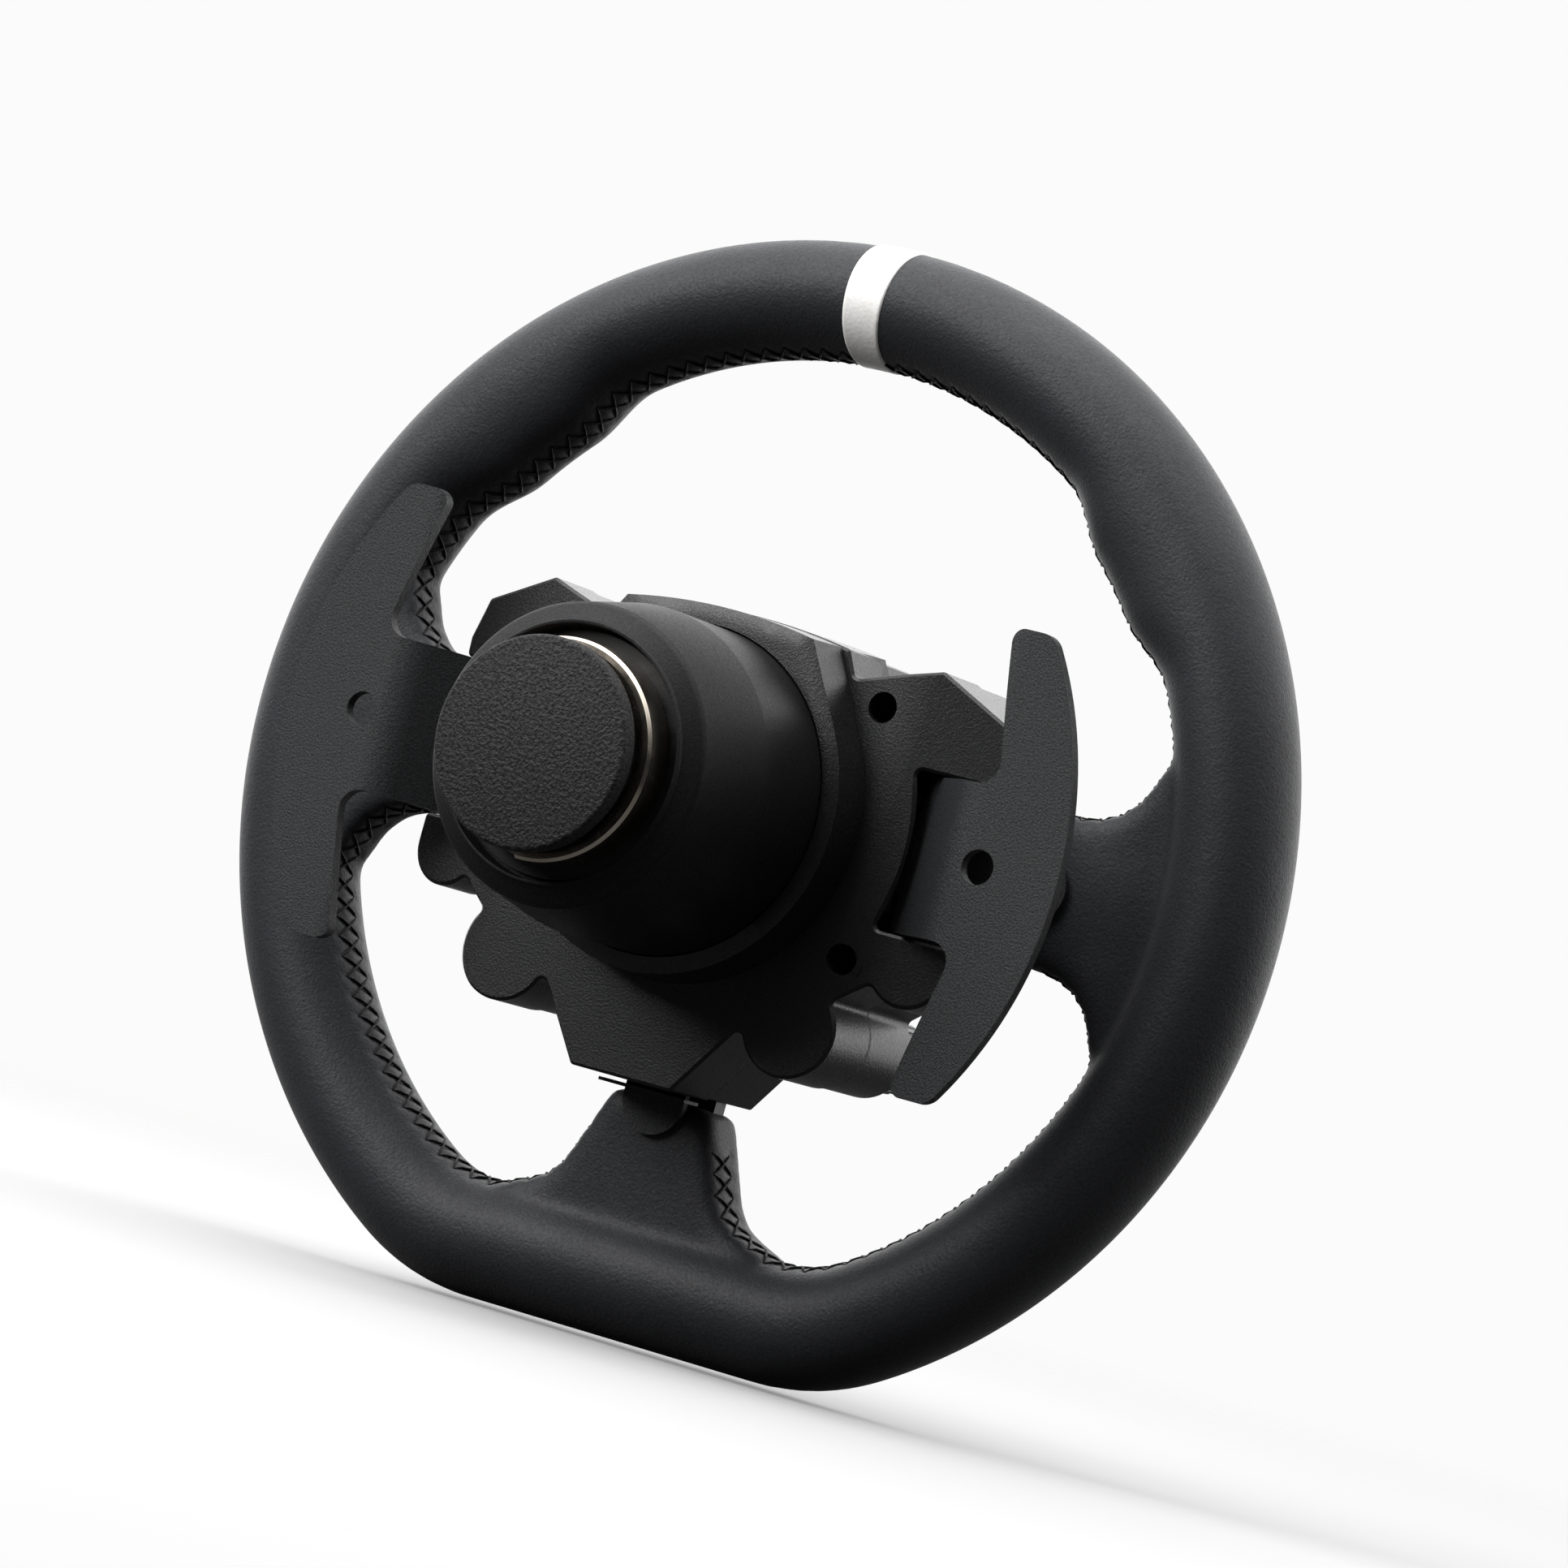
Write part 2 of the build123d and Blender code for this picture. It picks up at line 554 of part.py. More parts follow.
with BuildPart() as paddle:
    with BuildSketch(Plane.XY.offset(-60)):
        with BuildLine():
            FilletPolyline((112, PADDLE_Y - PADDLE_T / 2), (77, PADDLE_Y - PADDLE_T / 2),
                           (57, PIN_Y), (42, PIN_Y), radius=10)
        trace(line_width=PADDLE_T)
    extrude(amount=120)
    add(blade.part, mode=Mode.INTERSECT)
    with BuildSketch(Plane.XY.offset(-10)):
        with Locations((PIN_X, PIN_Y)):
            Circle(3.2)
    extrude(amount=20)
    with BuildSketch(Plane.XY.offset(-20)):
        with Locations((PIN_X, PIN_Y)):
            Circle(PIN_R + 0.05)
    extrude(amount=40, mode=Mode.SUBTRACT)

with BuildPart() as paddle_pin:
    with BuildSketch(Plane.XY.offset(-EAR_OUT)):
        with Locations((PIN_X, PIN_Y)):
            Circle(PIN_R)
    extrude(amount=2 * EAR_OUT)

with BuildPart() as paddle_bracket:
    with BuildSketch(along_y(BASE_Y)):
        with Locations((49.0, 0)):
            Rectangle(14.0, 2 * EAR_OUT)
    extrude(amount=BASE_Y - SEAM_Y)
    for end in (-1, 1):
        with BuildSketch(Plane.XY.offset(end * (EAR_IN + EAR_OUT) / 2)):
            with Locations((PIN_X, (BASE_Y + PIN_Y) / 2)):
                Rectangle(7.0, PIN_Y - BASE_Y)
            with Locations((PIN_X, PIN_Y)):
                Circle(3.5)
                Circle(PIN_R, mode=Mode.SUBTRACT)
        extrude(amount=(EAR_OUT - EAR_IN) / 2, both=True)

with BuildPart() as paddle_magnet:
    with BuildSketch(along_y(PIN_Y - PADDLE_T / 2)):
        with Locations((44.8, 0)):
            Circle(2.2)
    extrude(amount=1.5)

with BuildPart() as keeper_magnet:
    with BuildSketch(along_y(PIN_Y - PADDLE_T / 2 - 1.9)):
        with Locations((44.8, 0)):
            Circle(2.2)
    extrude(amount=PIN_Y - PADDLE_T / 2 - 1.9 - BASE_Y)

with BuildPart() as paddle_switch:
    with BuildSketch(along_y(-13.2)):
        with Locations((54.8, 0)):
            Rectangle(2.2, 6.0)
    extrude(amount=-13.2 - BASE_Y)
    with BuildSketch(along_y(-12.0)):
        with Locations((54.8, 0)):
            Circle(0.7)
    extrude(amount=1.2)

for name, side in SIDES.items():
    save(mirrored(paddle.part, side), f"paddle_{name}")
    save(mirrored(paddle_pin.part, side), f"paddle_pin_{name}")
    save(mirrored(paddle_bracket.part, side), f"paddle_bracket_{name}")
    save(mirrored(paddle_magnet.part, side), f"paddle_magnet_{name}")


def pair(piece):
    """The same piece on both sides, as one group of separate solids."""
    return Compound(children=[piece.solid(), mirror(piece, about=Plane.YZ).solid()])


save(pair(keeper_magnet.part), "keeper_magnets")
save(pair(paddle_switch.part), "paddle_switches")


# ---- driver's side controls -----------------------------------------------------------------------
with BuildPart() as main_board:
    with BuildSketch(along_y(BOARD_Y1)):
        add(offset(front_profile, -WALL - 0.8))
        Circle(42.0, mode=Mode.SUBTRACT)
        with Locations(*well_places):
            Circle(3.8, mode=Mode.SUBTRACT)
    extrude(amount=BOARD_Y1 - BOARD_Y0)
save(main_board.part, "main_board")

with BuildPart() as button_bezels:
    with BuildSketch(along_y(FACE_Y)):
        with Locations(*button_places):
            Circle(7.0)
            Circle(BUTTON_R + 0.4, mode=Mode.SUBTRACT)
    extrude(amount=2.6)
save(button_bezels.part, "button_bezels")

with BuildPart() as button_switches:
    with BuildSketch(along_y(BOARD_Y0)):
        with Locations(*button_places):
            Rectangle(6.0, 6.0)
    extrude(amount=1.0)
save(button_switches.part, "button_switches")

for place, (bx, bz) in BUTTONS.items():
    for name, side in SIDES.items():
        with BuildPart() as button:
            with BuildSketch(along_y(-38.0)):
                with Locations((side * bx, bz)):
                    Circle(6.0)
            extrude(amount=1.1)
            with BuildSketch(along_y(-38.0)):
                with Locations((side * bx, bz)):
                    Circle(BUTTON_R)
            extrude(amount=-38.0 - BUTTON_TOP)
            fillet(button.faces().sort_by(Axis.Y)[0].edges(), 1.0)
        save(button.part, f"button_{place}_{name}")

GIMBAL_OUT, GIMBAL_IN, HOUSING_IN, HOUSING_OUT = 4.2, 3.0, 6.0, 7.5
stick_x, stick_z = STICK_AT
with BuildPart() as stick_housing:
    with BuildSketch(along_y(BOARD_Y0)):
        with Locations(STICK_AT):
            Rectangle(2 * HOUSING_OUT, 2 * HOUSING_OUT)
            Rectangle(2 * HOUSING_IN, 2 * HOUSING_IN, mode=Mode.SUBTRACT)
    extrude(amount=BOARD_Y0 - FACE_Y - WALL - 0.1)
    with BuildSketch(Plane.YZ.offset(stick_x - 10)):
        with Locations((STICK_Y, stick_z)):
            Circle(0.85)
    extrude(amount=20, mode=Mode.SUBTRACT)
save(pair(stick_housing.part), "stick_housings")

with BuildPart() as stick_gimbal:
    with BuildSketch(Plane.YZ.offset(stick_x - 7.2)):
        with Locations((STICK_Y, stick_z)):
            Circle(0.8)
    extrude(amount=14.4)
    with BuildSketch(along_y(STICK_Y + 1.1)):
        with Locations(STICK_AT):
            Rectangle(2 * GIMBAL_OUT, 2 * GIMBAL_OUT)
    extrude(amount=2.2)
    with BuildSketch(along_y(STICK_Y + 2)):
        with Locations(STICK_AT):
            Rectangle(2 * GIMBAL_IN, 2 * GIMBAL_IN)
    extrude(amount=4, mode=Mode.SUBTRACT)
    with BuildSketch(Plane.XY.offset(stick_z - 6)):
        with Locations((stick_x, STICK_Y)):
            Circle(0.85)
    extrude(amount=12, mode=Mode.SUBTRACT)

with BuildPart() as thumb_stick:
    with Locations((stick_x, STICK_Y, stick_z)):
        Sphere(2.2)
    with BuildSketch(Plane.XY.offset(stick_z - 4.0)):
        with Locations((stick_x, STICK_Y)):
            Circle(0.8)
    extrude(amount=8.0)
    with BuildSketch(along_y(STICK_Y)):
        with Locations(STICK_AT):
            Circle(1.8)
    extrude(amount=9.5)
    with BuildSketch(along_y(STICK_Y - 8.5)):
        with Locations(STICK_AT):
            Circle(7.0)
    extrude(amount=3.6)
    fillet(thumb_stick.faces().sort_by(Axis.Y)[0].edges(), 1.4)
    with Locations((stick_x, STICK_Y - 8.5 - 3.6 - 6.0, stick_z)):
        Sphere(7.2, mode=Mode.SUBTRACT)

KNOB_R, KNOB_Y0, KNOB_Y1 = 9.0, -44.4, -56.0
with BuildPart() as knob:
    with BuildSketch(along_y(-37.5)):
        with Locations(KNOB_AT):
            Circle(3.0)
    extrude(amount=8.0)
    with BuildSketch(along_y(KNOB_Y0)):
        with Locations(KNOB_AT):
            Circle(KNOB_R)
    extrude(amount=KNOB_Y0 - KNOB_Y1)
    chamfer(knob.faces().sort_by(Axis.Y)[0].edges(), 0.8)
    with BuildSketch(along_y(KNOB_Y0 - 2.4)):
        with Locations(KNOB_AT):
            with PolarLocations(KNOB_R + 0.1, 24):
                Circle(0.6)
    extrude(amount=20, mode=Mode.SUBTRACT)
    with BuildSketch(along_y(KNOB_Y1)):
        with Locations((KNOB_AT[0], KNOB_AT[1] + 6.0)):
            Rectangle(1.0, 4.0)
    extrude(amount=-0.5, mode=Mode.SUBTRACT)

with BuildPart() as encoder:
    with BuildSketch(along_y(BOARD_Y0)):
        with Locations(KNOB_AT):
            Rectangle(12.0, 12.0)
    extrude(amount=BOARD_Y0 - FACE_Y - WALL - 0.1)
    with BuildSketch(along_y(-37.3)):
        with Locations(KNOB_AT):
            Circle(3.05)
    extrude(amount=6.0, mode=Mode.SUBTRACT)

for name, side in SIDES.items():
    save(mirrored(stick_gimbal.part, side), f"stick_gimbal_{name}")
    save(mirrored(thumb_stick.part, side), f"thumb_stick_{name}")
    save(mirrored(knob.part, side), f"knob_{name}")
save(pair(encoder.part), "encoders")

with BuildPart() as light_strip:
    with BuildSketch(along_y(FACE_Y + WALL + 1.4)):
        with Locations((0, LIGHT_Z)):
            Rectangle(2 * LIGHT_HALF, 5.6)
    extrude(amount=1.3)
    with BuildSketch(along_y(FACE_Y + WALL + 0.1)):
        with Locations((0, LIGHT_Z)):
            with GridLocations(4.9, 1, 10, 1):
                Rectangle(3.0, 3.0)
    extrude(amount=1.2)
save(light_strip.part, "light_strip")

with BuildPart() as light_lens:
    with BuildSketch(along_y(FACE_Y)):
        with Locations((0, LIGHT_Z)):
            RectangleRounded(2 * LIGHT_HALF, 6.0, 1.4)
    extrude(amount=2.4)
save(light_lens.part, "light_lens")
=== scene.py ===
"""A racing wheel with a leather rim, shift paddles and a quick release.

Its looks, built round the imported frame.
"""

import json
import math

import bmesh
import bpy
from bmesh.types import BMEdge, BMVert
from mathutils import Matrix, Vector
from mathutils.bvhtree import BVHTree
from mathutils.kdtree import KDTree


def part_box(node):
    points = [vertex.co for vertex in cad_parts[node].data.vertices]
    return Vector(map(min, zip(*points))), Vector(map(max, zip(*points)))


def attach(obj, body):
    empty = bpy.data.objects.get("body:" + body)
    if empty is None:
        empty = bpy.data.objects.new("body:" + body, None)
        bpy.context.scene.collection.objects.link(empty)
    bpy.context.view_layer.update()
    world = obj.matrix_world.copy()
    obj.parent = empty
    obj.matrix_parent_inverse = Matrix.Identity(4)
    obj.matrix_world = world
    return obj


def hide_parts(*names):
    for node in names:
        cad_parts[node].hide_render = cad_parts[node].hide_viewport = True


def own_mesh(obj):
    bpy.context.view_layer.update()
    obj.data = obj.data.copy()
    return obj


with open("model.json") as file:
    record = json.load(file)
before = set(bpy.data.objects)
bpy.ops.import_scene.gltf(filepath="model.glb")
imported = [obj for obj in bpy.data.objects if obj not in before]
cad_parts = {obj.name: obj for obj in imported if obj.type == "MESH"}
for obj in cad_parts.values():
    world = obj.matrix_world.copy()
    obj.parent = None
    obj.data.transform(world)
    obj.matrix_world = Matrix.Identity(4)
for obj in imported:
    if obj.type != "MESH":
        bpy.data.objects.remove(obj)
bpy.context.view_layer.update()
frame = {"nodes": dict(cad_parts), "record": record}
nodes = frame["nodes"]

MM = 0.001

# ---- sizes read from the frame, in millimetres --------------------------------------------------------
grip_low, grip_high = [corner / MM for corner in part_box("rim_grip")]
RIM_R = grip_high.x                                   # outside of the rim
RIM_Y = (grip_low.y + grip_high.y) / 2                # the rim's middle plane
GRIP_DEPTH = (grip_high.y - grip_low.y) / 2           # half the grip's section, front to back
GRIP_THICK = 14.5                                     # half the grip's section, radially
RING_R = RIM_R - GRIP_THICK
FLAT_Z = grip_low.z + GRIP_THICK                      # middle line of the flat bottom
CORNER_R = 45.0                                       # middle line of the arcs beside the flat
SPOKE_END = 81.0                                      # where the leather of a side spoke ends
cap_low, cap_high = [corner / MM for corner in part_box("dust_cap")]
collar_low, collar_high = [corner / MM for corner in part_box("release_collar")]


def add_object(name, data):
    """A new object in the scene."""
    made = bpy.data.objects.new(name, data)
    bpy.context.scene.collection.objects.link(made)
    return made


# ---- camera -------------------------------------------------------------------------------------------
CAMERA_AT = Vector((-870.0, 1558.0, -51.9)) * MM
VIEW_TURN = 151.417                                   # degrees from +Y towards +X
VIEW_RISE = 1.866                                     # degrees upwards
VIEW_ROLL = 15.39                                     # degrees about the lens axis
LENS, SENSOR = 174.63, 36.0
SHIFT_X, SHIFT_Y = 0.0027, 0.0055
CLIP_END = 60.0                                       # metres


def place_camera():
    turn, rise = math.radians(VIEW_TURN), math.radians(VIEW_RISE)
    forward = Vector((math.sin(turn) * math.cos(rise), math.cos(turn) * math.cos(rise), math.sin(rise)))
    data = bpy.data.cameras.new("camera")
    data.lens, data.sensor_width = LENS, SENSOR
    data.shift_x, data.shift_y = SHIFT_X, SHIFT_Y
    data.clip_end = CLIP_END
    camera = add_object("camera", data)
    level = forward.to_track_quat("-Z", "Y").to_matrix().to_4x4()
    roll = Matrix.Rotation(math.radians(VIEW_ROLL), 4, "Z")
    camera.matrix_world = Matrix.Translation(CAMERA_AT) @ level @ roll
    bpy.context.scene.camera = camera


place_camera()


# ---- material helpers ---------------------------------------------------------------------------------
def linear(code):
    """An sRGB hex colour as linear red, green, blue and alpha."""
    parts = [int(code[i:i + 2], 16) / 255 for i in (1, 3, 5)]
    return [p / 12.92 if p <= 0.04045 else ((p + 0.055) / 1.055) ** 2.4 for p in parts] + [1.0]


def add_node(tree, kind, inputs=None, **settings):
    """Adds a node; an input is a value, or another node's output to link."""
    made = tree.nodes.new(kind)
    for name, value in settings.items():
        setattr(made, name, value)
    for name, value in (inputs or {}).items():
        if isinstance(value, bpy.types.NodeSocket):
            tree.links.new(value, made.inputs[name])
        else:
            made.inputs[name].default_value = value
    return made


def start_material(name, **shader):
    """A material with a Principled shader whose uniform values are set on its own sockets."""
    material = bpy.data.materials.new(name)
    material.use_nodes = True
    tree = material.node_tree
    body = tree.nodes["Principled BSDF"]
    for socket, value in shader.items():
        body.inputs[socket.replace("_", " ")].default_value = value
    place = add_node(tree, "ShaderNodeTexCoord")
    return material, tree, body, place.outputs["Object"]


def two_tones(tree, body, factor, dark, light):
    """Lets the colour wander between two tones."""
    tone = add_node(tree, "ShaderNodeMix", {"Factor": factor, 6: linear(dark), 7: linear(light)},
                    data_type="RGBA")
    tree.links.new(tone.outputs[2], body.inputs["Base Color"])


def uneven_gloss(tree, body, factor, low, high):
    """Lets the roughness wander between two values."""
    spread = add_node(tree, "ShaderNodeMapRange", {"Value": factor, "To Min": low, "To Max": high})
    tree.links.new(spread.outputs["Result"], body.inputs["Roughness"])


def raise_grain(tree, body, height, distance_mm, strength=1.0, under=None):
    """Bumps the surface by a height pattern, on top of another bump if one is given."""
    inputs = {"Height": height, "Distance": distance_mm * MM, "Strength": strength}
    if under is not None:
        inputs["Normal"] = under
    grain = add_node(tree, "ShaderNodeBump", inputs)
    tree.links.new(grain.outputs["Normal"], body.inputs["Normal"])
    return grain.outputs["Normal"]


NOISE_LOW, NOISE_HIGH = 0.32, 0.68                    # where a noise's values mostly lie


def noise(tree, place, size_mm, detail=2.0, roughness=0.5):
    """A noise whose blotches are about size_mm across, spread over its full range."""
    made = add_node(tree, "ShaderNodeTexNoise", {"Vector": place, "Scale": 1 / (size_mm * MM),
                                                 "Detail": detail, "Roughness": roughness})
    full = add_node(tree, "ShaderNodeMapRange", {"Value": made.outputs["Fac"], "From Min": NOISE_LOW,
                                                 "From Max": NOISE_HIGH})
    return full.outputs["Result"]


def blend_of(tree, first, second, share):
    """Two patterns added in the given share of the second."""
    mix = add_node(tree, "ShaderNodeMix", {"Factor": share, 2: first, 3: second})
    return mix.outputs[0]


def pebbles(tree, place, size_mm):
    """Rounded cells about size_mm across, as in embossed leather."""
    made = add_node(tree, "ShaderNodeTexVoronoi", {"Vector": place, "Scale": 1 / (size_mm * MM),
                                                   "Smoothness": 0.6}, feature="SMOOTH_F1")
    return made.outputs["Distance"]


# ---- materials ----------------------------------------------------------------------------------------
def grip_leather():
    """Polyurethane-coated split leather, embossed: fine soft grain and a broad, dry sheen."""
    material, tree, body, place = start_material("charcoal coated leather", Specular_IOR_Level=0.25,
                                                 Sheen_Weight=0.08, Sheen_Roughness=0.45)
    grain = blend_of(tree, noise(tree, place, 0.75, 3.0, 0.65), noise(tree, place, 30.0, 3.0), 0.25)
    two_tones(tree, body, grain, "#161719", "#2a2b2f")
    uneven_gloss(tree, body, grain, 0.60, 0.46)
    under = raise_grain(tree, body, noise(tree, place, 6.0, 1.0), 0.12, 0.30)
    under = raise_grain(tree, body, pebbles(tree, place, 0.9), 0.06, 0.7, under)
    raise_grain(tree, body, noise(tree, place, 0.6, 2.0), 0.06, 0.7, under)
    return material


def stripe_leather():
    """The same leather dyed white for the centre mark, a little unevenly soiled."""
    material, tree, body, place = start_material("white coated leather", Specular_IOR_Level=0.4)
    soil = blend_of(tree, noise(tree, place, 0.8, 2.0), noise(tree, place, 9.0, 3.0), 0.6)
    two_tones(tree, body, soil, "#ebe9e5", "#fdfcfa")
    uneven_gloss(tree, body, noise(tree, place, 6.0), 0.50, 0.62)
    raise_grain(tree, body, pebbles(tree, place, 1.0), 0.08, 0.6)
    return material


def waxed_thread():
    """Waxed polyester thread: nearly black, dry and a little uneven along its length."""
    material, tree, body, place = start_material("black waxed thread", Specular_IOR_Level=0.18)
    two_tones(tree, body, noise(tree, place, 1.2), "#040404", "#0e0e0f")
    uneven_gloss(tree, body, noise(tree, place, 2.0), 0.50, 0.65)
    raise_grain(tree, body, noise(tree, place, 0.5, 1.0), 0.06, 0.7)
    return material


def casing_abs():
    """ABS moulded in a spark-eroded tool: even matt black with a fine dry grit."""
    material, tree, body, place = start_material("black spark-eroded ABS", IOR=1.53, Specular_IOR_Level=0.3)
    grit = noise(tree, place, 0.6, 3.0, 0.7)
    two_tones(tree, body, grit, "#0a0a0b", "#232324")
    uneven_gloss(tree, body, grit, 0.38, 0.26)
    raise_grain(tree, body, grit, 0.06, 0.7)
    return material


def powder_coat():
    """Fine-texture polyester powder coat on cut sheet: a sandy surface that sparkles slightly."""
    material, tree, body, place = start_material("black powder coat", IOR=1.5, Specular_IOR_Level=0.28)
    sand = noise(tree, place, 0.55, 3.0, 0.7)
    two_tones(tree, body, sand, "#0e0f10", "#2c2d2f")
    uneven_gloss(tree, body, sand, 0.58, 0.40)
    raise_grain(tree, body, sand, 0.10, 0.9)
    return material


def black_anodise():
    """Turned aluminium, bead-blasted and black anodised: a deep satin black with soft highlights."""
    material, tree, body, place = start_material("black anodised aluminium", Specular_IOR_Level=0.15)
    blast = noise(tree, place, 0.55, 2.0)
    two_tones(tree, body, blast, "#0b0b0c", "#1a1a1b")
    uneven_gloss(tree, body, blast, 0.52, 0.40)
    raise_grain(tree, body, blast, 0.05, 0.5)
    return material


def nickel_plate():
    """Electroless nickel over turned aluminium: warm silver with fine turning marks round the axis."""
    material, tree, body, place = start_material("nickel plate", Metallic=1.0)
    two_tones(tree, body, noise(tree, place, 12.0, 3.0), "#bdb2a2", "#dcd3c6")
    uneven_gloss(tree, body, noise(tree, place, 5.0), 0.18, 0.28)
    marks = add_node(tree, "ShaderNodeMapping", {"Vector": place, "Scale": (0.02, 1.0, 0.02)})
    raise_grain(tree, body, noise(tree, marks.outputs["Vector"], 0.35, 2.0), 0.015, 0.4)
    return material


def cap_rubber():
    """Moulded rubber with a coarse pebbled face, lighter in tone on its high spots."""
    material, tree, body, place = start_material("black pebbled rubber", Specular_IOR_Level=0.2)
    grit = noise(tree, place, 0.85, 2.0, 0.6)
    two_tones(tree, body, grit, "#0c0c0c", "#2a2a2b")
    uneven_gloss(tree, body, grit, 0.66, 0.46)
    raise_grain(tree, body, grit, 0.18, 0.9)
    return material


def plain_finish(name, dark, light, low, high, metallic=0.0, grit_mm=0.6, depth_mm=0.03):
    """A simple moulded, coated or ground finish with a little unevenness of tone, gloss and surface."""
    material, tree, body, place = start_material(name, Metallic=metallic)
    two_tones(tree, body, noise(tree, place, 8.0, 3.0), dark, light)
    uneven_gloss(tree, body, noise(tree, place, 4.0), low, high)
    raise_grain(tree, body, noise(tree, place, grit_mm, 2.0), depth_mm, 0.4)
    return material


def smoked_lens():
    """Tinted acrylic over the shift lights: glossy, dark and slightly see-through."""
    material, tree, body, place = start_material("smoked acrylic", IOR=1.49, Alpha=0.55)
    two_tones(tree, body, noise(tree, place, 10.0), "#141416", "#1c1c20")
    uneven_gloss(tree, body, noise(tree, place, 6.0), 0.06, 0.12)
    return material


LEATHER, WHITE_LEATHER, THREAD = grip_leather(), stripe_leather(), waxed_thread()
ABS, POWDER, ANODISE = casing_abs(), powder_coat(), black_anodise()
NICKEL, RUBBER = nickel_plate(), cap_rubber()
FINISHES = {
    "core_aluminium": plain_finish("black anodised plate", "#1a1a1b", "#202021", 0.38, 0.48, 0.5),
    "grip_leather": LEATHER,
    "stripe_leather": WHITE_LEATHER,
    "casing_plastic": ABS,
    "plate_black": POWDER,
    "face_trim": plain_finish("dark grey satin ABS", "#1c1c1e", "#232325", 0.36, 0.46),
    "cover_satin": plain_finish("satin black ABS", "#131314", "#18181a", 0.30, 0.40),
    "screw_black": plain_finish("black oxide steel", "#161617", "#222224", 0.32, 0.45, 0.8),
    "spacer_aluminium": plain_finish("milled aluminium", "#8d8f92", "#a4a6a9", 0.30, 0.42, 1.0),
    "hub_nickel": NICKEL,
    "collar_black": ANODISE,
    "spring_steel": plain_finish("spring steel", "#6f7072", "#8a8b8d", 0.25, 0.35, 1.0),
    "ring_black": plain_finish("black phosphated steel", "#101011", "#1a1a1b", 0.40, 0.52, 0.6),
    "ball_steel": plain_finish("hardened steel ball", "#b9babc", "#cfd0d2", 0.08, 0.14, 1.0),
    "cap_rubber": RUBBER,
    "contact_plastic": plain_finish("black glass-filled nylon", "#121213", "#1a1a1b", 0.45, 0.60),
    "contact_brass": plain_finish("gilt brass", "#b08a45", "#cfa85c", 0.20, 0.30, 1.0),
    "paddle_black": POWDER,
    "pin_steel": plain_finish("ground steel", "#8b8c8e", "#a5a6a8", 0.18, 0.28, 1.0),
    "bracket_plastic": plain_finish("black acetal", "#111112", "#19191a", 0.40, 0.52),
    "magnet_nickel": plain_finish("nickel-plated magnet", "#a9a8a5", "#c4c3c0", 0.15, 0.22, 1.0),
    "switch_plastic": plain_finish("black nylon", "#131314", "#1b1b1c", 0.45, 0.58),
    "board_green": plain_finish("green solder mask", "#0b3a20", "#114d2b", 0.25, 0.38),
    "bezel_black": plain_finish("gloss black ABS", "#0d0d0e", "#121213", 0.12, 0.20),
    "button_grey": plain_finish("grey gloss ABS", "#54565a", "#606266", 0.18, 0.28),
    "button_red": plain_finish("red gloss ABS", "#9c1214", "#b01618", 0.16, 0.26),
    "knob_black": plain_finish("black anodised knob", "#17171a", "#1f1f22", 0.28, 0.38, 0.6),
    "stick_rubber": plain_finish("soft black rubber", "#131314", "#1a1a1b", 0.55, 0.70, 0.0, 0.8, 0.08),
    "lens_smoke": smoked_lens(),
}
slot_of = {part["node"]: part["material_slot"] for part in frame["record"]["subparts"]}
for name, node in nodes.items():
    node.data.materials.clear()
    node.data.materials.append(FINISHES[slot_of[name]])


# ---- shape helpers ------------------------------------------------------------------------------------
WELD = 0.004                                          # millimetres between points that are one point
FLAT_DEG = 0.6                                        # faces closer in angle than this are one face
EDGE_DEG = 28.0                                       # edges sharper than this are rounded
FACE_WEIGHT = 90                                      # how far large faces govern the shading of an edge
TURN_STEPS = 160


def only(geometry, kind):
    """The parts of a bmesh operator's result that are of one kind."""
    return [part for part in geometry if isinstance(part, kind)]


def finish_piece(bm, name, material, body, stands_for=None, sharp_deg=35.0, crisp=False):
    """Turns a bmesh in millimetres into a piece that rides on a body.

    If stands_for is given, the piece takes the place of that CAD node. A crisp piece keeps its flat faces
    evenly shaded up to their rounded edges.
    """
    bmesh.ops.scale(bm, vec=(MM, MM, MM), verts=bm.verts)
    mesh = bpy.data.meshes.new(name)
    bm.to_mesh(mesh)
    bm.free()
    mesh.materials.append(material)
    mesh.shade_smooth()
    mesh.set_sharp_from_angle(angle=math.radians(sharp_deg))
    piece = add_object(name, mesh)
    if crisp:
        even = piece.modifiers.new("even shading", "WEIGHTED_NORMAL")
        even.keep_sharp, even.weight = True, FACE_WEIGHT
    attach(piece, body)
    if stands_for:
        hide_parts(stands_for)
    return piece


def tidy(bm):
    """Closes doubled points and turns all faces outwards."""
    bmesh.ops.remove_doubles(bm, verts=bm.verts, dist=1e-4)
    bmesh.ops.recalc_face_normals(bm, faces=bm.faces)


def bevel_edges(bm, edges, width, segments=2):
    """Rounds edges to about the width."""
    bmesh.ops.bevel(bm, geom=edges, offset=width, offset_type="OFFSET", segments=segments, profile=0.5,
                    affect="EDGES", material=-1, clamp_overlap=True)


def node_shape(node_name):
    """A CAD node's shape in millimetres, with its doubled points joined."""
    bm = bmesh.new()
    bm.from_mesh(nodes[node_name].data)
    bmesh.ops.scale(bm, vec=(1 / MM,) * 3, verts=bm.verts)
    bmesh.ops.remove_doubles(bm, verts=bm.verts, dist=WELD)
    return bm


